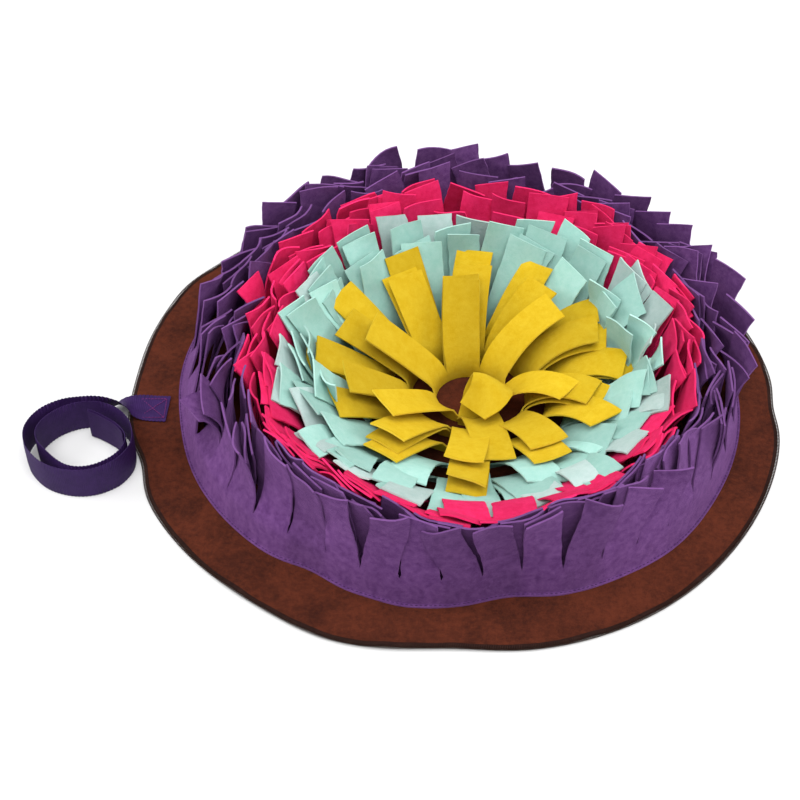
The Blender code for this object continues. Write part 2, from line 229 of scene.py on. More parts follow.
def add_piece(name, points, faces, materials, slots=None, tones=None, sharp=50):
    """A mesh piece that rides on the mat."""
    mesh = bpy.data.meshes.new(name)
    mesh.from_pydata([tuple(map(float, p)) for p in points], [], faces)
    for material in materials:
        mesh.materials.append(material)
    if slots is not None:
        mesh.polygons.foreach_set("material_index", slots)
    if tones is not None:
        mesh.attributes.new("tone", "FLOAT", "POINT").data.foreach_set("value", tones)
    mesh.validate()
    mesh.update()
    mesh.shade_smooth()
    mesh.set_sharp_from_angle(angle=math.radians(sharp))
    piece = bpy.data.objects.new(name, mesh)
    bpy.context.scene.collection.objects.link(piece)
    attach(piece, "root")
    return piece


def rim_wave(azimuth):
    """How high the cloth's edge lifts off the floor."""
    lift = 0.5 + 0.5 * np.sin(7 * azimuth + 1.1) * np.sin(3 * azimuth - 0.4)
    return 0.0016 * lift**2 + 0.0022 * np.exp(-(((np.degrees(azimuth) + 27) / 5) ** 2))


def base_grid():
    turns = np.linspace(0, math.tau, BASE_TURNS, endpoint=False)
    shares = np.append(np.linspace(0, 1, BASE_RINGS)[1:] ** 0.75 * (1 - RIM_WIDTH / BASE_RADIUS), 1.0)
    reach = dented(BASE_RADIUS - 0.0012, BASE_DENTS, turns)
    azimuth = np.broadcast_to(turns, (BASE_RINGS, BASE_TURNS))
    radius = shares[:, None] * reach[None, :]
    near_rim = np.clip((shares - 0.84) / 0.16, 0, 1)[:, None]
    wrinkle = np.sin(31 * azimuth + 9 * radius / BASE_RADIUS) * np.sin(5 * azimuth + 0.7)
    wrinkle = 0.0016 * wrinkle + 0.0005 * np.sin(58 * azimuth + 2 * np.sin(4 * azimuth))
    wrinkle = wrinkle + 0.0015 * np.sin(23 * azimuth - 40 * radius / BASE_RADIUS) * np.sin(9 * azimuth)
    lift = near_rim**2 * rim_wave(azimuth) + near_rim * (1 - 0.5 * near_rim) * wrinkle
    return np.stack([radius * np.cos(azimuth), radius * np.sin(azimuth), np.maximum(lift, 0)], -1)


grid = base_grid()
under = [(0, 0, 0)] + list((grid + (0, 0, 0.0002)).reshape(-1, 3))
top = [(0, 0, BASE_THICK)] + list((grid + (0, 0, BASE_THICK - 0.0002)).reshape(-1, 3))
count = len(under)
faces = []
slots = []
for k in range(BASE_TURNS):
    after = (k + 1) % BASE_TURNS
    faces += [(0, 1 + after, 1 + k), (count, count + 1 + k, count + 1 + after)]
    slots += [0, 0]
    for ring in range(BASE_RINGS - 1):
        a, b = 1 + ring * BASE_TURNS + k, 1 + ring * BASE_TURNS + after
        c, d = b + BASE_TURNS, a + BASE_TURNS
        faces += [(a, b, c, d), (count + a, count + d, count + c, count + b)]
        slots += [int(ring == BASE_RINGS - 2)] * 2
    a, b = 1 + (BASE_RINGS - 1) * BASE_TURNS + k, 1 + (BASE_RINGS - 1) * BASE_TURNS + after
    faces.append((a, b, count + b, count + a))
    slots.append(1)
# The brown felt's strong mottling is partly its own tone and partly painted sheen and shade of the brushed
# nap.
brown_felt = felt("brown_felt", (0.026, 0.005, 0.0020), (0.120, 0.025, 0.0095), 0.62, 30.0, 0.25)
rim_felt = felt("dark_rim", (0.010, 0.003, 0.002), (0.035, 0.012, 0.008), 0.5, 200.0, 0.1)
base = add_piece("round_base", under + top, faces, [brown_felt, rim_felt], slots)
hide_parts("base_mat")

# ---- overlocked rim ----
# Dark brown thread that wraps the base's edge all round, in close slanted stitches.


def tube(points, radius, sides, flat=1.0):
    """A closed tube through these points, round or flattened, as points and faces."""
    points = [Vector(p) for p in points]
    made, faces = [], []
    for i, p in enumerate(points):
        along = (points[min(i + 1, len(points) - 1)] - points[max(i - 1, 0)]).normalized()
        side = along.cross(Vector((0, 0, 1)))
        side = side.normalized() if side.length > 1e-4 else Vector((1, 0, 0))
        up = side.cross(along)
        ends = 0.55 if i in (0, len(points) - 1) else 1.0
        for s in range(sides):
            turn = math.tau * s / sides
            made.append(p + (side * math.cos(turn) + up * math.sin(turn) * flat) * radius * ends)
    for i in range(len(points) - 1):
        for s in range(sides):
            a, b = i * sides + s, i * sides + (s + 1) % sides
            faces.append((a, b, b + sides, a + sides))
    faces += [tuple(reversed(range(sides))), tuple(range(len(made) - sides, len(made)))]
    return made, faces


def joined(parts):
    """Several sets of points and faces as one."""
    points, faces = [], []
    for more, more_faces in parts:
        faces += [tuple(i + len(points) for i in face) for face in more_faces]
        points += more
    return points, faces


def thread(name, colour, light):
    material = felt(name, colour, light, 0.5, 300.0, 0.2, bump=0.0002)
    material.node_tree.nodes["Principled BSDF"].inputs["Roughness"].default_value = 0.6
    return material


RIM_STITCHES = 1000
RIM_REACH = 0.0029


def rim_point(azimuth, inward, height):
    azimuth = np.asarray(azimuth, float)
    radius = float(dented(BASE_RADIUS, BASE_DENTS, azimuth)) - inward
    lift = float(rim_wave(azimuth)) * max(0.0, 1 - inward / 0.04) ** 2
    return Vector((radius * math.cos(azimuth), radius * math.sin(azimuth), lift + height))


rim_parts = []
for k in range(RIM_STITCHES):
    azimuth = math.tau * k / RIM_STITCHES
    slant = math.tau / RIM_STITCHES * 0.8
    wrap = [
        rim_point(azimuth - slant * 0.4, 0.0030, 0.0003),
        rim_point(azimuth, 0.0002, 0.0006),
        rim_point(azimuth + slant * 0.3, -0.0004, BASE_THICK * 0.6),
        rim_point(azimuth + slant * 0.5, 0.0004, BASE_THICK + 0.0003),
        rim_point(azimuth + slant, RIM_REACH, BASE_THICK + 0.0002),
    ]
    rim_parts.append(tube(wrap, 0.00036, 4))
dark_thread = thread("dark_thread", (0.016, 0.006, 0.004), (0.050, 0.020, 0.011))
rim = add_piece("overlocked_rim", *joined(rim_parts), [dark_thread])

# ---- rings of felt tabs ----
# Twelve strips of soft felt, folded double, stand on edge in rings, each sewn to the base along its fold.
# Above an uncut band each is cut into square tabs, which lean, twist and lie over each other as felt does.


class Ring(NamedTuple):
    """A strip of felt. Its mean lean outward is given at four sides, in degrees.

    `stray` is how far its tabs' tips leave that lean, in degrees, and `sway` how far they shift sideways.
    """

    name: str
    colour: str
    radius: float
    height: float
    band: float
    tabs: int
    bend: float
    right: float
    back: float
    left: float
    front: float
    stray: float
    sway: float


class Curl(NamedTuple):
    """Tabs of the outermost ring between two azimuths that bend from one lean to another, in degrees.

    `folded` is the share of them that fold right over outwards.
    """

    start: float
    end: float
    root: float
    tip: float
    spread: float
    folded: float


class FrontTab(NamedTuple):
    """A tab at the front of the outermost ring. These tabs are cut at an even pitch.

    `sway` is how far its tip shifts to the right, `twist` turns its face and `depth` is 1 for the outermost.
    """

    sway: float
    twist: float
    depth: float
    tip: float


class Petal(NamedTuple):
    """A tab of a yellow ring. Its lean goes from `root` to `tip`, in degrees.

    Its heading turns by `swing` and its face by `turn`, in degrees too. `short` is how far it is cut below
    the ring's height. Layer 1 lies outside the ring's own layer.
    """

    ring: str
    azimuth: float
    layer: int
    root: float
    tip: float
    swing: float
    turn: float
    short: float


RINGS = (
    Ring("purple_row_1", "purple", 0.2145, 0.088, 0.023, 44, 4, -2, -10, -12, 0, 11, 0.014),
    Ring("purple_row_2", "purple", 0.1970, 0.086, 0.016, 40, 5, 2, -6, -8, 4, 16, 0.015),
    Ring("purple_row_3", "purple", 0.1800, 0.086, 0.016, 36, 6, 6, -2, -3, 9, 16, 0.015),
    Ring("pink_row_1", "pink", 0.1630, 0.086, 0.016, 33, 7, 14, 3, 3, 16, 15, 0.014),
    Ring("pink_row_2", "pink", 0.1460, 0.086, 0.016, 30, 8, 18, 7, 8, 22, 15, 0.014),
    Ring("pink_row_3", "pink", 0.1290, 0.086, 0.016, 26, 10, 23, 9, 14, 29, 15, 0.014),
    Ring("mint_row_1", "mint", 0.1120, 0.088, 0.014, 23, 12, 28, 12, 20, 36, 13, 0.009),
    Ring("mint_row_2", "mint", 0.0950, 0.088, 0.014, 19, 14, 32, 14, 24, 42, 13, 0.009),
    Ring("mint_row_3", "mint", 0.0780, 0.086, 0.014, 16, 16, 37, 17, 29, 47, 13, 0.009),
    Ring("yellow_row_1", "yellow", 0.0610, 0.082, 0.012, 12, 28, 41, 21, 34, 51, 0, 0),
    Ring("yellow_row_2", "yellow", 0.0445, 0.082, 0.012, 10, 34, 45, 26, 39, 54, 0, 0),
    Ring("yellow_row_3", "yellow", 0.0260, 0.082, 0.010, 6, 40, 49, 32, 44, 57, 0, 0),
)
CURLS = (
    Curl(197, 241, -30, 24, 18, 0.6),
    Curl(340, 372, -6, 10, 12, 0.0),
)
FRONT_TABS = (
    FrontTab(-0.009, -12, 0.60, 8),
    FrontTab(0.009, -6, 0.95, 16),
    FrontTab(-0.002, 6, 0.05, -16),
    FrontTab(-0.016, -8, 0.85, 12),
    FrontTab(-0.010, -20, 0.60, 2),
    FrontTab(-0.004, -6, 0.90, 15),
    FrontTab(0.009, 50, 0.45, 0),
    FrontTab(0.012, 42, 0.35, -4),
    FrontTab(0.013, 44, 0.50, 4),
    FrontTab(0.013, 44, 0.40, 6),
    FrontTab(0.013, 44, 0.45, 8),
)
FRONT_START = 243
FRONT_PITCH = 7.5
FRONT_END = FRONT_START + FRONT_PITCH * len(FRONT_TABS)
ROLLED_AT = 281
YELLOW_START = {"yellow_row_1": 0, "yellow_row_2": 18, "yellow_row_3": ROLLED_AT}
YELLOW_SIDES = {
    # in degrees, at the right, back, left and front
    "root": (10, 25, 45, 50),
    "tip": (90, 35, 45, 64),
    "swing": (-20, -15, 10, -10),
    "turn": (0, 5, 20, 0),
}
YELLOW_VARIES = {"root": 3, "tip": 4, "swing": 5, "turn": 8}
YELLOW_SHORT = 0.008
PARTNER_EVERY = 3
PARTNER_OPENS = 6
ROLLED = (
    # middle x, y, z in millimetres, then the direction across the tab, from its root to its tip
    (18.0, -34.6, 13.0, 0.98, 0.20, 0.00), (19.5, -32.0, 21.0, 0.98, 0.16, -0.08),
    (21.8, -29.0, 30.0, 0.99, 0.06, -0.14), (25.0, -26.5, 38.5, 0.98, -0.12, -0.20),
    (27.0, -28.5, 44.5, 0.90, -0.36, -0.24), (26.3, -36.0, 46.0, 0.80, -0.56, -0.18),
    (22.0, -42.5, 41.5, 0.68, -0.70, -0.06), (17.0, -47.0, 36.0, 0.58, -0.80, 0.02),
    (13.0, -51.0, 31.0, 0.49, -0.86, 0.04),
)
LEANED = (
    # azimuth, how much more every ring leans out there, in degrees, and how far round it reaches
    (18, -6, 38),
    (158, -5, 32),
)
OUTER_MIDDLE = np.array((0.0036, 0.0043))
INNER_MIDDLE = np.array((0.0128, -0.0091))
RING_DENTS = {
    # azimuth, how far out, spread
    "purple_row_1": (
        (-120, -0.0050, 6),
        (-101, 0.0020, 5),
        (-82, -0.0080, 8),
        (-48, 0.0030, 12),
        (-170, -0.0030, 14),
    ),
    "yellow_row_2": ((-90, -0.0030, 45),),
}
SEWN_GAP = 0.0003
FELT = 0.0013
SLIT = 0.0016
FELT_ROOM = 0.0021
LAYER_GAP = 0.0022
LEVELS = 10
STATIONS = np.linspace(-1, 1, 5)
SHARES = np.arange(LEVELS + 1) / LEVELS
BINS = 540
SETTLE_ROUNDS = 260
ACROSS = 6
RISE = 14
BAND_ROWS = 4
ROOT_BLEND = 0.010
TAB_HALF = 0.0142
MOST_PRESSED = 0.035
DROOPING = 0.14
FRONT_DROOP = {"purple": 0.1, "pink": 0.5, "mint": 0.8}
TWISTED = 0.18
SIDE_TURN = 50
FOLD_OVER = (-44, 108)
PIVOT = {"purple": 0.8, "pink": 0.4, "mint": 0.0}
PARTNERED = 0.42
PARTNERED_LESS_BEHIND = 0.25
WAIST = 0.05
FLATTENED = (
    # how much each ring takes part, azimuth, more lean, spread
    (
        {"mint_row_3": 1, "mint_row_2": 0.9, "mint_row_1": 0.8,
         "pink_row_3": 0.5, "pink_row_2": 0.25},
        232, 20, 24,
    ),
    (
        {"mint_row_3": 1, "mint_row_2": 1, "mint_row_1": 0.9,
         "pink_row_3": 0.6, "pink_row_2": 0.2},
        272, 14, 24,
    ),
    (
        {"mint_row_3": 1, "mint_row_2": 0.9, "mint_row_1": 0.8,
         "pink_row_3": 0.4, "pink_row_2": 0.2},
        312, 18, 26,
    ),
    (
        {"mint_row_3": 1, "mint_row_2": 0.8, "mint_row_1": 0.6,
         "pink_row_3": 0.3},
        5, 12, 30,
    ),
)


def ring_middle(ring):
    share = (ring.radius - RINGS[-1].radius) / (RINGS[0].radius - RINGS[-1].radius)
    return INNER_MIDDLE + (OUTER_MIDDLE - INNER_MIDDLE) * share


def blended(sides, azimuth):
    """A value given at the right, back, left and front, blended between them at these azimuths."""
    sides, quarter = np.array(sides, float), np.asarray(azimuth % math.tau) / (math.tau / 4)
    first = quarter.astype(int) % 4
    share = (1 - np.cos(math.pi * (quarter - np.floor(quarter)))) / 2
    return sides[first] * (1 - share) + sides[(first + 1) % 4] * share


def mean_lean(ring, azimuth):
    """The ring's mean lean at these azimuths, in radians, blended between its four sides."""
    lean = blended((ring.right, ring.back, ring.left, ring.front), azimuth)
    for at, more, reach in LEANED:
        away = (np.degrees(azimuth) - at + 180) % 360 - 180
        lean = lean + more * np.exp(-((away / reach) ** 2))
    return np.radians(lean)


def lean_at(ring, azimuth, along):
    return mean_lean(ring, azimuth) + math.radians(ring.bend) * (2 * along / ring.height - 1)


def profile(ring, azimuth, along):
    """Radius and height of the ring's mean surface, this far up the strip."""
    mean = mean_lean(ring, azimuth) + math.radians(ring.bend) * (along / ring.height - 1)
    radius = dented(ring.radius, RING_DENTS.get(ring.name, ()), azimuth)
    return radius + along * np.sin(mean), along * np.cos(mean)


def surface(ring, azimuth, along, offset=0.0):
    """Points this far up the strip and outside its mean surface, with the outward direction there."""
    azimuth, along, offset = np.broadcast_arrays(azimuth, along, offset)
    radius, height = profile(ring, azimuth, along)
    lean = lean_at(ring, azimuth, along)
    out = np.stack([np.cos(azimuth) * np.cos(lean), np.sin(azimuth) * np.cos(lean), -np.sin(lean)], -1)
    middle = ring_middle(ring)
    foot = np.stack([middle[0] + radius * np.cos(azimuth), middle[1] + radius * np.sin(azimuth)], -1)
    point = np.concatenate([foot, (BASE_THICK + SEWN_GAP + height)[..., None]], -1)
    return point + out * offset[..., None], out


def unit(vectors):
    return vectors / np.linalg.norm(vectors, axis=-1, keepdims=True)


def smoothstep(share):
    share = np.clip(share, 0, 1)
    return share * share * (3 - 2 * share)


def petals_of(row):
    """A yellow ring's tabs, evenly spaced. Some also have their second layer, leaning a little more."""
    draw = random.Random(f"{row.name} tabs")
    petals = []
    for k in range(row.tabs):
        azimuth = (YELLOW_START[row.name] + 360 * k / row.tabs) % 360
        pose = {
            name: float(blended(sides, math.radians(azimuth))) + draw.uniform(-1, 1) * YELLOW_VARIES[name]
            for name, sides in YELLOW_SIDES.items()
        }
        tab = Petal(ring=row.name, azimuth=azimuth, layer=0, short=draw.uniform(0, YELLOW_SHORT), **pose)
        petals.append(tab)
        if k % PARTNER_EVERY == 0:
            opened = {"root": tab.root + PARTNER_OPENS, "tip": tab.tip + PARTNER_OPENS}
            petals.append(tab._replace(layer=1, **opened))
    return petals


def petal_rows(petal, half_angle):
    """A yellow tab's middle surface from its root up, as rows of points across it."""
    row = next(ring for ring in RINGS if ring.name == petal.ring)
    azimuth, offset = math.radians(petal.azimuth), petal.layer * LAYER_GAP
    length = row.height - petal.short
    along = np.linspace(0, length, 4 * RISE + 1)
    share = along / length
    lean = np.radians(petal.root + (petal.tip - petal.root) * share)
    heading = azimuth + math.radians(petal.swing) * share**0.8

    def direction(lean, heading):
        return np.stack([np.sin(lean) * np.cos(heading), np.sin(lean) * np.sin(heading), np.cos(lean)], -1)

    def line_from(start, lean, heading, along):
        ahead = direction((lean[1:] + lean[:-1]) / 2, (heading[1:] + heading[:-1]) / 2)
        return np.concatenate([start, start + np.cumsum(ahead * np.diff(along)[:, None], axis=0)])

    tip = line_from(surface(row, np.array([azimuth]), 0.0, offset)[0], lean, heading, along)[-1]
    rise = np.linspace(0, 1, RISE + 1)
    along = row.band + (length - row.band) * rise
    share = along / length
    lean = np.radians(petal.root + (petal.tip - petal.root) * share)
    at_root = lean_at(row, np.array([azimuth]), row.band)
    lean = at_root + (lean - at_root) * smoothstep((along - row.band) / ROOT_BLEND)
    heading = azimuth + math.radians(petal.swing) * rise**0.8
    root = surface(row, np.array([azimuth]), row.band, offset)[0]
    line = line_from(root, lean, heading, along)
    line += (tip - line[-1]) * (rise**1.5)[:, None]
    ahead = unit(np.gradient(line, axis=0))
    flat = np.stack([-np.sin(heading), np.cos(heading), 0 * heading], -1)
    turn = np.radians(petal.turn) * rise**1.2
    across = flat * np.cos(turn)[:, None] + np.cross(flat, ahead) * np.sin(turn)[:, None]
    across = unit(across - ahead * (across * ahead).sum(1)[:, None])
    outward = np.cross(across, ahead)
    root_half = (row.radius + offset) * math.sin(half_angle)
    half = root_half + (TAB_HALF - root_half) * smoothstep((along - row.band) / 0.020)
    sagitta = root_half**2 / 2 / row.radius * (1 - rise) ** 2
    u = np.linspace(-1, 1, ACROSS + 1)
    rows = line[:, None] + across[:, None] * (half[:, None] * u)[..., None]
    rows -= outward[:, None] * (sagitta[:, None] * u**2)[..., None]
    draw = random.Random(f"{petal}")
    curls = [draw.uniform(-0.003, 0.003) for _ in range(2)]
    bent = curls[0] * np.maximum(0, -u) ** 2 + curls[1] * np.maximum(0, u) ** 2
    rows += outward[:, None] * (rise[:, None] ** 3 * bent)[..., None]
    rows += ahead[:, None] * (draw.uniform(-0.002, 0.002) * u * rise[:, None] ** 4)[..., None]
    return rows


def rolled_rows(row, half_angle):
    """The middle surface of the one tab that rolls over towards the front, as rows of points across it."""
    route = resampled(np.array(ROLLED), 6 * RISE)
    line, across = route[:, :3] / 1000, route[:, 3:]
    run = np.concatenate([[0], np.cumsum(np.linalg.norm(np.diff(line, axis=0), axis=1))])
    rise = np.linspace(0, 1, RISE + 1)
    line, across = (
        np.stack([np.interp(rise * run[-1], run, axis) for axis in part.T], -1) for part in (line, across)
    )
    ahead = unit(np.gradient(line, axis=0))
    across = unit(across - ahead * (across * ahead).sum(1)[:, None])
    outward = np.cross(across, ahead)
    root_half = row.radius * math.sin(half_angle)
    half = root_half + (TAB_HALF - root_half) * smoothstep(rise / 0.3)
    sagitta = root_half**2 / 2 / row.radius * (1 - smoothstep(rise / 0.4))
    u = np.linspace(-1, 1, ACROSS + 1)
    rounded = 1 + 0.24 * np.sin(math.pi * np.clip((rise - 0.35) / 0.65, 0, 1))[:, None] * (u > 0)
    rows = line[:, None] + across[:, None] * (half[:, None] * u * rounded)[..., None]
    rows -= outward[:, None] * (sagitta[:, None] * u**2)[..., None]
    rows[..., 2] -= 0.005 * np.sin(math.pi * np.clip((rise - 0.25) / 0.75, 0, 1))[:, None] * u**2
    return rows


class Tab:
    """One tab of felt: the slits it is cut between, and how it would stand if nothing pushed it."""

    def __init__(self, ring, start, end, layer, draw, clump):
        row = RINGS[ring]
        self.ring, self.layer = ring, layer
        self.azimuth, self.half_angle = (start + end) / 2, (end - start) / 2
        self.length = row.height - draw.uniform(0, 0.009)
        self.half = row.radius * math.sin(self.half_angle) - SLIT / 2
        self.depth = draw.random()
        push = 0.75 * (2 * self.depth - 1) + 0.25 * clump(2 * self.azimuth)
        self.root_stray = row.stray * 0.3 * draw.uniform(-1, 1)
        self.tip_stray = row.stray * 1.4 * push
        in_front = FRONT_DROOP[row.colour] * max(0.0, -math.sin(self.azimuth - 0.1)) ** 2
        if draw.random() < DROOPING + in_front:
            most = 40 + 30 * in_front
            self.tip_stray += math.copysign(draw.uniform(12 + 18 * in_front, most), push + 3 * in_front)
        self.power = draw.uniform(0.9, 2.2)
        self.sway = row.sway * (0.7 * draw.uniform(-1, 1) + 0.7 * clump(5 * self.azimuth + ring))
        self.lap = -math.cos(self.azimuth)
        self.twist = math.radians(SIDE_TURN * self.lap * abs(self.lap) + draw.uniform(-14, 14))
        if draw.random() < TWISTED:
            self.twist += math.radians(draw.uniform(-26, 26))
        self.curls = [draw.uniform(-1, 1) ** 3 * 0.007 + draw.uniform(-1, 1) * 0.001 for _ in range(2)]
        self.cup = draw.uniform(-0.2, 1.2)
        self.skew = draw.uniform(-0.004, 0.004)
        self.tone = draw.random()
        self.base_offset = layer * (LAYER_GAP if ring else -LAYER_GAP)
        self.order_sway = self.sway
        self.folded = self.s_shaped = False
        self.inset = PIVOT[row.colour] * self.half * abs(math.sin(self.twist))
        for colours, at, more, spread in FLATTENED:
            away = (math.degrees(self.azimuth) - at + 180) % 360 - 180
            share = math.exp(-((away / spread) ** 2)) * colours.get(row.name, 0)
            self.root_stray += 0.6 * more * share
            self.tip_stray += more * share

    def levels(self):
        row = RINGS[self.ring]
        return row.band + (self.length - row.band) * SHARES

    def leans(self):
        """How far each step up the tab leans out of the ring's mean surface, in radians."""
        lean = np.radians(self.root_stray + (self.tip_stray - self.root_stray) * SHARES**self.power)
        return (lean[1:] + lean[:-1]) / 2

    def reached(self):
        """How far up the ring's mean surface each level comes. A tab that folds over comes down again."""
        if not self.folded:
            return self.levels()
        row = RINGS[self.ring]
        step = (self.length - row.band) / LEVELS
        return row.band + np.concatenate([[0], np.cumsum(np.cos(self.leans())) * step])

    def rest(self):
        """Offsets outside the ring's mean surface, by level and by station across the tab."""
        row, along = RINGS[self.ring], self.levels()
        step = (self.length - row.band) / LEVELS
        middle = np.concatenate([[0], np.cumsum(np.sin(self.leans())) * step])
        width = self.half * STATIONS[None, :]
        tilt = np.tan(self.twist * SHARES**1.2)[:, None] * width
        radius = np.maximum(profile(row, np.full(LEVELS + 1, self.azimuth), along)[0], 0.02)
        flat = width**2 / 2 / radius[:, None] * (1 - self.cup) * SHARES[:, None]
        curl = self.curls[0] * np.maximum(0, -STATIONS) ** 2 + self.curls[1] * np.maximum(0, STATIONS) ** 2
        middle -= self.inset * SHARES
        return self.base_offset + middle[:, None] + tilt + flat + curl * SHARES[:, None] ** 3

    def drift(self):
        return self.sway * self.swept(SHARES)

    def swept(self, share):
        """How much of the tab's sway is reached this far up. The front tabs' slits are S-shaped."""
        return smoothstep(share) if self.s_shaped else share**1.6


def smooth_noise(seed, terms=5):
    """A smooth function of an angle, within about -1 to 1."""
    draw = random.Random(seed)
    waves = [(draw.randint(1, 6), draw.uniform(0, math.tau), draw.uniform(0.5, 1)) for _ in range(terms)]
    total = sum(w[2] for w in waves) * 0.6
    return lambda angle: sum(a * math.sin(n * angle + p) for n, p, a in waves) / total


def slits(row, draw):
    """The azimuths of the ring's slits, in radians, all round and back to the first."""
    if row is RINGS[0]:
        front = [FRONT_START + FRONT_PITCH * k for k in range(len(FRONT_TABS))]
        others = row.tabs - len(front)
        rest = [FRONT_END + (360 + front[0] - FRONT_END) * k / others for k in range(others + 1)]
        return [math.radians(a) for a in front + rest]
    pitch = math.tau / row.tabs
    start = draw.uniform(0, pitch)
    cuts = [start + pitch * (k + draw.uniform(-0.07, 0.07)) for k in range(row.tabs)]
    return cuts + [cuts[0] + math.tau]


def cut_tabs():
    tabs = []
    for index, row in enumerate(RINGS):
        if row.colour == "yellow":
            continue
        draw = random.Random(f"{row.name} 5")
        clump = smooth_noise(f"{row.colour} clump")
        cuts = slits(row, draw)
        for k, (start, end) in enumerate(zip(cuts, cuts[1:])):
            tab = Tab(index, start, end, 0, draw, clump)
            degrees = math.degrees(tab.azimuth)
            if index == 0:
                for curl in CURLS:
                    if curl.start <= (degrees - curl.start) % 360 + curl.start <= curl.end:
                        mean = math.degrees(float(mean_lean(row, np.array([tab.azimuth]))[0]))
                        tab.root_stray = curl.root - mean + curl.spread * 0.4 * draw.uniform(-1, 1)
                        tab.tip_stray = curl.tip - mean + curl.spread * (2 * tab.depth - 1)
                        tab.power = 1.0
                        tab.folded = draw.random() < curl.folded
                        if tab.folded:
                            tab.root_stray, tab.tip_stray = FOLD_OVER
                            tab.power = 1.3
                if k < len(FRONT_TABS):
                    front = FRONT_TABS[k]
                    tab.sway, tab.twist = front.sway, math.radians(front.twist)
                    tab.depth, tab.lap = front.depth, 0
                    tab.order_sway, tab.s_shaped = tab.sway, True
                    tab.root_stray, tab.tip_stray, tab.power = 0.0, front.tip, 1.6
            second = Tab(index, start, end, 1, draw, clump)
            apart = draw.uniform(0, 16) * (1 if index else -1)
            second.depth, second.lap = tab.depth, tab.lap
            second.root_stray, second.power = tab.root_stray, tab.power
            second.tip_stray = tab.tip_stray + apart
            if index:
                tab.tip_stray -= 0.5 * apart
            second.sway, second.order_sway = tab.sway + draw.uniform(-0.011, 0.011), tab.sway
            second.twist = tab.twist + math.radians(draw.uniform(-16, 16))
            if draw.random() > PARTNERED - PARTNERED_LESS_BEHIND * max(0, math.sin(tab.azimuth)):
                tabs.append(tab)
                continue
            tabs += [tab, second]
    return tabs


def ring_spacing():
    """How far each ring's mean surface lies inside the outermost ring's, by ring, level and turn."""
    turns = (np.arange(BINS) + 0.5) / BINS * math.tau
    total = np.zeros((len(RINGS), LEVELS + 1, BINS))
    for index in range(1, len(RINGS)):
        outer, inner = RINGS[index - 1], RINGS[index]
        shift = ring_middle(outer) - ring_middle(inner)
        shift = shift[0] * np.cos(turns) + shift[1] * np.sin(turns)
        run = [profile(outer, turns, np.full(BINS, outer.height * 1.15 * i / 14)) for i in range(15)]
        for level in range(LEVELS + 1):
            along = inner.band + (inner.height - inner.band) * level / LEVELS
            r, h = profile(inner, turns, np.full(BINS, along))
            r = r - shift
            least = np.full(BINS, 1.0)
            for (r0, h0), (r1, h1) in zip(run, run[1:]):
                dr, dh = r1 - r0, h1 - h0
                t = np.clip(((r - r0) * dr + (h - h0) * dh) / (dr**2 + dh**2), 0, 1)
                least = np.minimum(least, np.hypot(r0 + dr * t - r, h0 + dh * t - h))
            total[index, level] = total[index - 1, level] - least
    return total


def pressed_by(sheets):
    """How far outside each ring's mean surface these fixed sheets reach, by ring, level and turn."""
    reach = np.full((len(RINGS), LEVELS + 1, BINS), -1.0)
    for rows in sheets:
        fine = resampled(resampled(rows, 4 * (len(rows) - 1)).swapaxes(0, 1), 5 * ACROSS).reshape(-1, 3)
        for index, row in enumerate(RINGS):
            if row.colour != "mint" and row.name != "pink_row_3":
                continue
            away = fine[:, :2] - ring_middle(row)
            azimuth = np.arctan2(away[:, 1], away[:, 0]) % math.tau
            bins = (azimuth / math.tau * BINS).astype(int) % BINS
            out, up = np.hypot(away[:, 0], away[:, 1]), fine[:, 2] - BASE_THICK - SEWN_GAP
            step = (row.height - row.band) / LEVELS
            for level in range(LEVELS + 1):
                along = np.full(len(fine), row.band + step * level)
                radius, height = profile(row, azimuth, along)
                lean = lean_at(row, azimuth, along)
                along_it = (out - radius) * np.sin(lean) + (up - height) * np.cos(lean)
                across_it = (out - radius) * np.cos(lean) - (up - height) * np.sin(lean)
                near = (np.abs(along_it) < 0.7 * step) & (across_it < MOST_PRESSED)
                np.maximum.at(reach[index, level], bins[near], across_it[near])
    return reach


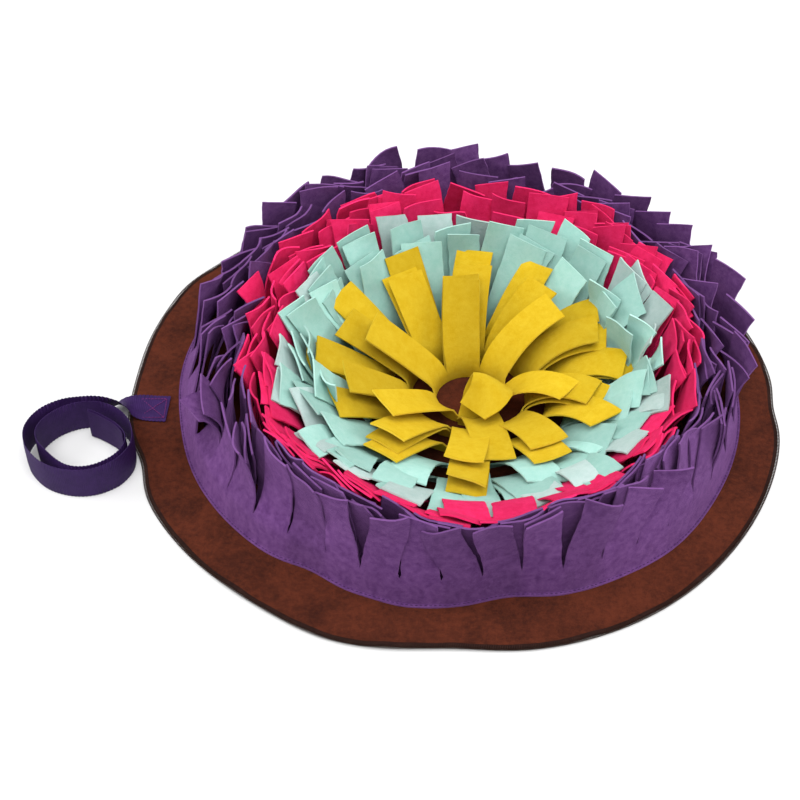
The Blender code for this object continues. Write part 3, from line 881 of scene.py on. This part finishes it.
def settle(tabs, pressed):
    """Pushes the tabs apart until none passes through another, each keeping near the way it would stand."""
    spacing = ring_spacing()
    rest = np.stack([tab.rest() for tab in tabs])
    stiff = SHARES[None, :, None]
    cells = []
    for t, tab in enumerate(tabs):
        row, drift, along = RINGS[tab.ring], tab.drift(), tab.levels()
        for level in range(1, LEVELS + 1):
            radius = max(float(profile(row, np.array([tab.azimuth]), along[level])[0][0]), 0.012)
            middle = tab.azimuth + drift[level] / radius
            reach = tab.half / radius
            first = math.ceil((middle - reach) / math.tau * BINS - 0.5)
            last = math.floor((middle + reach) / math.tau * BINS - 0.5)
            for b in range(first, last + 1):
                u = ((b + 0.5) / BINS * math.tau - middle) / reach
                at = min(3, int((u + 1) * 2))
                share = (u + 1) * 2 - at
                mate_u = u + (tab.sway - tab.order_sway) * tab.swept(SHARES[level]) / tab.half
                order = 0.5 * mate_u * tab.lap + (tab.depth - 0.5) * (1 - 0.7 * abs(tab.lap))
                order += 0.001 * tab.layer * (1 if tab.ring else -1) + 2 * tab.folded
                node_at = (t * (LEVELS + 1) + level) * 5 + at
                cells.append((level, b % BINS, order - tab.ring * 10, node_at, share, tab.ring, t))
    cells.sort(key=lambda c: c[:3])
    level, bins, _, at, share, ring, owner = (np.array(column) for column in zip(*cells))
    base = spacing[ring, level, bins]
    least = pressed[ring, level, bins] + FELT_ROOM
    pair = np.nonzero((level[1:] == level[:-1]) & (bins[1:] == bins[:-1]) & (owner[1:] != owner[:-1]))[0]
    low, high = pair, pair + 1
    offset = rest.copy().reshape(-1)
    size = offset.size
    for _ in range(SETTLE_ROUNDS):
        here = offset[at] * (1 - share) + offset[at + 1] * share
        place = base + here
        short = np.maximum(0.0, FELT_ROOM - (place[high] - place[low])) / 2
        push = np.maximum(0.0, least - here)
        weight = (push > 0).astype(float)
        np.add.at(push, high, short)
        np.add.at(push, low, -short)
        np.add.at(weight, high, short > 0)
        np.add.at(weight, low, short > 0)
        moved = np.bincount(at, push * (1 - share), size) + np.bincount(at + 1, push * share, size)
        counted = np.bincount(at, weight * (1 - share), size) + np.bincount(at + 1, weight * share, size)
        offset += 0.9 * moved / np.maximum(counted, 0.35)
        bent = (offset - rest.reshape(-1)).reshape(rest.shape)
        bent[:, 0] = 0.0
        smooth = bent.copy()
        smooth[:, 1:-1] = 0.25 * bent[:, :-2] + 0.5 * bent[:, 1:-1] + 0.25 * bent[:, 2:]
        smooth[:, -1] = 0.5 * bent[:, -1] + 0.5 * (2 * smooth[:, -2] - smooth[:, -3])
        mean = smooth.mean(2, keepdims=True)
        slope = (smooth * STATIONS).sum(2, keepdims=True) / (STATIONS**2).sum()
        smooth = 0.5 * smooth + 0.5 * (mean + slope * STATIONS)
        smooth *= np.minimum(1.0, stiff * 3)
        offset = (rest + smooth * 0.997).reshape(-1)
    return offset.reshape(rest.shape)


def resampled(values, count):
    """Values by level, read again at more places along a smooth curve through them."""
    at = np.linspace(0, len(values) - 1, count + 1)
    i = np.clip(at.astype(int), 0, len(values) - 2)
    t = (at - i)[(...,) + (None,) * (values.ndim - 1)]
    before, after = values[np.maximum(i - 1, 0)], values[np.minimum(i + 2, len(values) - 1)]
    here, there = values[i], values[i + 1]
    return 0.5 * (
        2 * here + (there - before) * t + (2 * before - 5 * here + 4 * there - after) * t**2
        + (3 * here - before - 3 * there + after) * t**3
    )


def tab_rows(tab, offsets):
    """The tab's middle surface from its root up, as rows of points. Its length and width are kept."""
    row = RINGS[tab.ring]
    along = tab.levels()
    radius = np.maximum(profile(row, np.full(LEVELS + 1, tab.azimuth), along)[0], 0.012)
    turn = tab.azimuth + tab.drift() / radius
    reach = tab.half / radius
    turns = turn[:, None] + reach[:, None] * STATIONS[None, :]
    nodes, _ = surface(row, turns, tab.reached()[:, None], offsets)
    nodes = resampled(nodes, RISE)
    centre = nodes.mean(1)
    moves = np.diff(centre, axis=0)
    moves *= (tab.length - row.band) / RISE / np.linalg.norm(moves, axis=1)[:, None]
    line = np.concatenate([centre[:1], centre[:1] + np.cumsum(moves, axis=0)])
    ahead = unit(np.gradient(line, axis=0))
    spread = nodes - centre[:, None]
    spread -= ahead[:, None] * (spread * ahead[:, None]).sum(2, keepdims=True)
    width = np.linalg.norm(np.diff(spread, axis=1), axis=2).sum(1)
    waist = 1 - WAIST * np.sin(math.pi * np.linspace(0, 1, RISE + 1) ** 0.7)
    spread *= (2 * tab.half * waist / width)[:, None, None]
    rows = line[:, None] + resampled(spread.swapaxes(0, 1), ACROSS).swapaxes(0, 1)
    draw = random.Random(f"{tab.ring} {tab.azimuth:.4f} {tab.layer}")
    edges = np.array([[draw.uniform(-0.0004, 0.0004) for _ in range(2)] for _ in range(RISE + 1)])
    u = np.linspace(-1, 1, ACROSS + 1)
    wobble = edges[:, :1] * np.minimum(u, 0) + edges[:, 1:] * np.maximum(u, 0)
    across = unit(rows[:, -1] - rows[:, 0])
    rows += across[:, None] * wobble[..., None]
    share = (np.arange(RISE + 1) / RISE)[:, None]
    rows += ahead[:, None] * (tab.skew * u[None, :] * share**4)[..., None]
    return rows


class Cut(NamedTuple):
    """A tab that is ready to be meshed: its root on the ring, and its rows of points from there up."""

    azimuth: float
    half_angle: float
    offset: float
    tone: float
    pale: bool
    rows: object


def cut_petals(row):
    """The cuts of a yellow ring. The slits lie midway between its tabs."""
    petals = petals_of(row)
    own = sorted(math.radians(petal.azimuth) for petal in petals if petal.layer == 0)
    slit = [(a + b) / 2 for a, b in zip([own[-1] - math.tau] + own, own + [own[0] + math.tau])]
    bounds = list(zip(slit, slit[1:]))
    draw = random.Random(row.name)
    cuts = []
    for petal in petals:
        start, end = min(bounds, key=lambda b: abs((b[0] + b[1]) / 2 - math.radians(petal.azimuth)))
        half_angle = (end - start) / 2
        rows = petal_rows(petal._replace(azimuth=math.degrees((start + end) / 2)), half_angle)
        if row.name == "yellow_row_3" and petal.azimuth == ROLLED_AT and petal.layer == 0:
            rows = rolled_rows(row, half_angle)
        cuts.append(Cut((start + end) / 2, half_angle, petal.layer * LAYER_GAP, draw.random(), False, rows))
    return cuts


cuts_of = {row.name: cut_petals(row) for row in RINGS if row.colour == "yellow"}
tabs = cut_tabs()
settled = settle(tabs, pressed_by([cut.rows for cuts in cuts_of.values() for cut in cuts]))
for tab, offsets in zip(tabs, settled):
    row = RINGS[tab.ring]
    greyer = {"mint_row_1": 0.75, "mint_row_2": 0.3 * tab.layer}.get(row.name, 0)
    pale = random.Random(f"pale {tab.azimuth:.4f} {tab.layer}").random() < greyer
    cut = Cut(tab.azimuth, tab.half_angle, tab.base_offset, tab.tone, pale, tab_rows(tab, offsets))
    cuts_of.setdefault(row.name, []).append(cut)

# ---- cut and sewn strips ----
# Each ring becomes one mesh: the band, whose foot is sewn down, with all its tabs. The outermost strip ends
# in a lip that lies on the base, outside its seam.

LIP = ((0.0030, 0.0002), (0.0016, 0.0002), (0.0005, 0.0006))


def strip(row, cuts):
    """Points of the ring's middle surface, its faces, each point's tone and each face's material."""
    points, faces, tones, slots = [], [], [], []
    u = np.linspace(-1, 1, ACROSS + 1)
    heights = np.linspace(0, row.band, BAND_ROWS + 1)[:-1]
    for cut in cuts:
        first = len(points)
        turns = cut.azimuth + u * cut.half_angle
        rows = [surface(row, turns, np.full(ACROSS + 1, h), cut.offset)[0] for h in heights]
        if row is RINGS[0] and cut.offset == 0:
            outward = np.stack([np.cos(turns), np.sin(turns), 0 * turns], -1)
            rows = [rows[0] + outward * out + (0, 0, up) for out, up in LIP] + rows[1:]
        rows += list(cut.rows)
        # the slit starts at the band's top, where neighbouring tabs share a point
        rows[-RISE - 1] = surface(row, turns, np.full(ACROSS + 1, row.band), cut.offset)[0]
        for line in rows:
            points += list(line)
        tones += [cut.tone] * (len(rows) * (ACROSS + 1))
        for j in range(len(rows) - 1):
            for i in range(ACROSS):
                a = first + j * (ACROSS + 1) + i
                faces.append((a, a + 1, a + ACROSS + 2, a + ACROSS + 1))
                slots.append(2 if cut.pale else 0)
    return points, faces, tones, slots


def thick_sheet(name, points, faces, tones, slots, materials):
    """A thin cloth of even thickness. A cut edge takes the material after its face's, a lighter felt that is
    a painted highlight for light caught by the fuzz on the cut edge.
    """
    mesh = bpy.data.meshes.new(name)
    mesh.from_pydata([tuple(map(float, p)) for p in points], [], faces)
    for material in materials:
        mesh.materials.append(material)
    mesh.polygons.foreach_set("material_index", slots)
    mesh.attributes.new("tone", "FLOAT", "POINT").data.foreach_set("value", tones)
    piece = bpy.data.objects.new(name, mesh)
    bpy.context.scene.collection.objects.link(piece)
    weld = piece.modifiers.new("weld", "WELD")
    weld.merge_threshold = 0.00002
    solid = piece.modifiers.new("thickness", "SOLIDIFY")
    solid.thickness = FELT
    solid.offset = 0.0
    solid.use_even_offset = False
    solid.material_offset_rim = 1
    bpy.context.view_layer.update()
    made = bpy.data.meshes.new_from_object(piece.evaluated_get(bpy.context.evaluated_depsgraph_get()))
    piece.modifiers.clear()
    piece.data = made
    made.name = name
    bpy.data.meshes.remove(mesh)
    made.shade_smooth()
    made.set_sharp_from_angle(angle=math.radians(50))
    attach(piece, "root")
    return piece


FELTS = {
    # name: main, light, mottling, patch scale, sheen, edge (painted lighter: a painted highlight on the cut
    # edges)
    "purple": ((0.0523, 0.0149, 0.0784), (0.2, 0.0853, 0.253), 0.38, 130.0, 0.75, (0.109, 0.0418, 0.149)),
    "pink": ((0.528, 0.0068, 0.0649), (0.835, 0.0384, 0.18), 0.42, 100.0, 0.25, (0.665, 0.0154, 0.102)),
    "mint": ((0.249, 0.472, 0.412), (0.395, 0.584, 0.541), 0.45, 100.0, 0.25, (0.343, 0.558, 0.498)),
    "pale_mint": ((0.292, 0.412, 0.386), (0.429, 0.515, 0.506), 0.65, 90.0, 0.35, (0.378, 0.498, 0.472)),
    "yellow": ((0.456, 0.291, 0.0042), (0.58, 0.423, 0.0291), 0.50, 90.0, 0.20, (0.564, 0.399, 0.0249)),
}
felts = {}
# Each colour gets a felt for its faces and a lighter one for its cut edges, which is a painted highlight for
# light caught by the edge's fuzz.
for colour, (main, light, mottling, scale, sheen, edge) in FELTS.items():
    felts[colour] = [
        felt(f"{colour}_felt", main, light, mottling, scale, sheen, tone_spread=0.18),
        felt(f"{colour}_cut_edge", edge, light, 0.3, 200.0, sheen, tone_spread=0.18),
    ]
felts["mint"] += felts["pale_mint"]

for row in RINGS:
    cuts = cuts_of[row.name]
    ring_piece = thick_sheet(f"{row.name}_strip", *strip(row, cuts), felts[row.colour])
    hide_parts(row.name)

# ---- seam at the foot ----
# One row of dark purple thread that sews the outermost strip's lip down to the base, all round.

FOOT_STITCH = 0.0032
FOOT_SEAM_OUT = 0.0018
foot_count = round(math.tau * RINGS[0].radius / FOOT_STITCH)


def foot_point(turn, up):
    """A point on the lip's seam at this azimuth, this far above the lip's middle surface."""
    place = surface(RINGS[0], np.array([turn]), 0.0)[0][0]
    return Vector(place) + Vector((FOOT_SEAM_OUT * math.cos(turn), FOOT_SEAM_OUT * math.sin(turn), up))


FOOT_SHARES = (0.08, 0.3, 0.5, 0.7, 0.92)
FOOT_HEIGHTS = (0.0002, 0.0009, 0.0011, 0.0009, 0.0002)
FOOT_THREAD = 0.0003
foot_parts = []
for k in range(foot_count):
    turns = [math.tau * (k + share) / foot_count for share in FOOT_SHARES]
    stitch = [foot_point(turn, up) for turn, up in zip(turns, FOOT_HEIGHTS)]
    foot_parts.append(tube(stitch, FOOT_THREAD, 5))
foot_thread = thread("dark_purple_thread", (0.022, 0.007, 0.034), (0.055, 0.02, 0.08))
foot_seam = add_piece("foot_stitches", *joined(foot_parts), [foot_thread])

# ---- carrying strap ----
# A ribbed ribbon of purple webbing, sewn flat on the base's left edge with a box and cross of magenta thread.
# It goes over the edge, turns on its side and is rolled up into two loops that stand on the floor.

STRAP_WIDTH = 0.0280
STRAP_THICK = 0.0013
RIB = 0.0014
TOOTH = 0.0027
STRAP_STEP = 0.00028
FLAT_Z = BASE_THICK + 1.5 * SEWN_GAP + STRAP_THICK / 2
STRAP_ROUTE = (
    # x, y, z, roll: 0 where it lies flat, -90 where it stands on edge
    (-0.2180, -0.0205, FLAT_Z, 0), (-0.2290, -0.0200, FLAT_Z, 0), (-0.2390, -0.0197, FLAT_Z + 0.0014, -3),
    (-0.2470, -0.0204, 0.0078, -15), (-0.2535, -0.0228, 0.0110, -38), (-0.2600, -0.0262, 0.0132, -62),
    (-0.2690, -0.0300, 0.0140, -84), (-0.2806, -0.0320, 0.014, -90), (-0.2940, -0.0349, 0.014, -90),
    (-0.3064, -0.0429, 0.014, -90), (-0.3139, -0.0538, 0.014, -90), (-0.3167, -0.0671, 0.014, -90),
    (-0.3131, -0.0815, 0.014, -90), (-0.3051, -0.0931, 0.014, -90), (-0.2953, -0.1015, 0.014, -90),
    (-0.2830, -0.1066, 0.014, -90), (-0.2700, -0.1080, 0.014, -90), (-0.2574, -0.1052, 0.014, -90),
    (-0.2455, -0.0975, 0.014, -90), (-0.2384, -0.0867, 0.014, -90), (-0.2362, -0.0763, 0.014, -90),
    (-0.2378, -0.0640, 0.014, -90), (-0.2430, -0.0530, 0.014, -90), (-0.2522, -0.0435, 0.014, -90),
    (-0.2650, -0.0378, 0.014, -90), (-0.2793, -0.0378, 0.014, -90), (-0.2921, -0.0431, 0.014, -90),
    (-0.3010, -0.0511, 0.014, -90), (-0.3065, -0.0605, 0.014, -90), (-0.3076, -0.0697, 0.014, -90),
    (-0.3040, -0.0790, 0.014, -90), (-0.2965, -0.0880, 0.014, -90), (-0.2870, -0.0975, 0.014, -90),
    (-0.2780, -0.1030, 0.014, -90), (-0.2680, -0.1042, 0.014, -90), (-0.2580, -0.1012, 0.014, -90),
    (-0.2480, -0.0938, 0.014, -90), (-0.2423, -0.0850, 0.014, -90), (-0.2408, -0.0765, 0.014, -90),
    (-0.2430, -0.0685, 0.014, -90), (-0.2490, -0.0608, 0.014, -90), (-0.2565, -0.0548, 0.014, -90),
    (-0.2650, -0.0492, 0.014, -90), (-0.2728, -0.0452, 0.014, -90),
)


def strap_line(step):
    """Middle, width direction, face direction and distance along, at even steps down the strap."""
    route = np.array(STRAP_ROUTE, float)
    route = np.vstack([2 * route[0] - route[1], route, 2 * route[-1] - route[-2]])
    t = np.linspace(0, 1, 60, endpoint=False)[:, None]
    dense = [
        0.5 * (2 * b + (c - a) * t + (2 * a - 5 * b + 4 * c - d) * t**2 + (3 * b - a - 3 * c + d) * t**3)
        for a, b, c, d in zip(route, route[1:], route[2:], route[3:])
    ]
    dense = np.vstack(dense + [route[-2:-1]])
    run = np.concatenate([[0], np.cumsum(np.linalg.norm(np.diff(dense[:, :3], axis=0), axis=1))])
    at = np.linspace(0, run[-1], int(run[-1] / step) + 1)
    place = np.stack([np.interp(at, run, dense[:, i]) for i in range(4)], 1)
    ahead = np.gradient(place[:, :2], axis=0)
    ahead /= np.linalg.norm(ahead, axis=1)[:, None]
    side = np.stack([ahead[:, 1], -ahead[:, 0], np.zeros(len(at))], 1)
    roll = np.radians(place[:, 3:])
    upright = np.array([0.0, 0.0, 1.0])
    across = side * np.cos(roll) + upright * np.sin(roll)
    face = upright * np.cos(roll) - side * np.sin(roll)
    return place[:, :3], across, face, at


def ribbon(line, width, low, high, columns, rib=0.0, tooth=0.0):
    """A closed ribbon along the line, from low to high on its face, with ribs across it and toothed edges."""
    middle, across, face, at = line
    u = np.linspace(-1, 1, columns)
    rise = rib * (0.5 + 0.5 * np.cos(math.tau * at / RIB))[:, None]
    half = (width / 2 - tooth * (0.5 + 0.5 * np.cos(math.tau * at / TOOTH)) ** 2)[:, None]
    round_edge = np.where(np.abs(u) > 0.99, 0.35, 1.0)[None, :]
    mid, deep = (low + high) / 2, (high - low) / 2
    flat = middle[:, None] + across[:, None] * (half * u)[..., None]
    upper = flat + face[:, None] * (mid + (deep + rise) * round_edge)[..., None]
    lower = flat + face[:, None] * (mid - (deep + rise) * round_edge)[..., None]
    rows = np.concatenate([lower, upper[:, ::-1]], 1)
    size = 2 * columns
    faces = [tuple(range(size)), tuple(reversed(range((len(at) - 1) * size, len(at) * size)))]
    for i in range(len(at) - 1):
        for j in range(size):
            a, b = i * size + j, i * size + (j + 1) % size
            faces.append((b, a, a + size, b + size))
    return list(rows.reshape(-1, 3)), faces


def webbing(name, colour, light, roughness):
    material = felt(name, colour, light, 0.35, 90.0, 0.03, bump=0.0001)
    material.node_tree.nodes["Principled BSDF"].inputs["Roughness"].default_value = roughness
    material.node_tree.nodes["Principled BSDF"].inputs["Specular IOR Level"].default_value = 0.2
    return material


line = strap_line(STRAP_STEP)
strap_length = float(line[3][-1])
half_strap = STRAP_THICK / 2
strap_felt = webbing("ribbed_webbing", (0.019, 0.005, 0.050), (0.050, 0.016, 0.112), 0.65)
core = half_strap - 0.0002
strap_mesh = ribbon(line, STRAP_WIDTH, -core, core, 5, rib=0.00018, tooth=0.0006)
strap = add_piece("rolled_strap", *strap_mesh, [strap_felt], sharp=80)
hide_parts("carry_strap")

PATCH_LENGTH = 0.040
PATCH_WIDTH = STRAP_WIDTH - 0.0016
patch_first = int(len(line[3]) * (1 - PATCH_LENGTH / strap_length))
patch_line = tuple(part[patch_first::4] for part in line)
patch_webbing = webbing("smooth_webbing", (0.021, 0.006, 0.052), (0.048, 0.017, 0.10), 0.75)
patch_mesh = ribbon(patch_line, PATCH_WIDTH, -half_strap - 0.0011, -half_strap - 0.0003, 7)
patch = add_piece("strap_end_patch", *patch_mesh, [patch_webbing], sharp=80)
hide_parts("strap_patch")


def stitches(start, end, length, gap, radius, lift=0.0003):
    """Short stitches along a straight run, each dipping into the cloth at its two ends."""
    start, end = Vector(start), Vector(end)
    count = max(1, round((end - start).length / (length + gap)))
    step = (end - start) / count
    inset = step * (gap / (length + gap) / 2)
    made = []
    for k in range(count):
        a, b = start + step * k + inset, start + step * (k + 1) - inset
        up = Vector((0, 0, lift))
        rising, falling = a + (b - a) * 0.25 + up * 0.6, b - (b - a) * 0.25 + up * 0.6
        made.append(tube([a - up, rising, (a + b) / 2 + up, falling, b - up], radius, 5))
    return made


BOX = (-0.2395, -0.2200, -0.0310, -0.0105)
on_strap = FLAT_Z + half_strap + 0.0003
left, right, front, back = BOX
corner = [Vector((x, y, on_strap)) for x, y in ((left, front), (right, front), (right, back), (left, back))]
box_runs = [(corner[i], corner[(i + 1) % 4]) for i in range(4)]
box_runs += [(corner[0], corner[2]), (corner[1], corner[3])]
box_thread = thread("magenta_thread", (0.10, 0.012, 0.09), (0.22, 0.037, 0.15))
box_parts = [part for a, b in box_runs for part in stitches(a, b, 0.0021, 0.0005, 0.00026)]
box_piece = add_piece("box_stitches", *joined(box_parts), [box_thread])
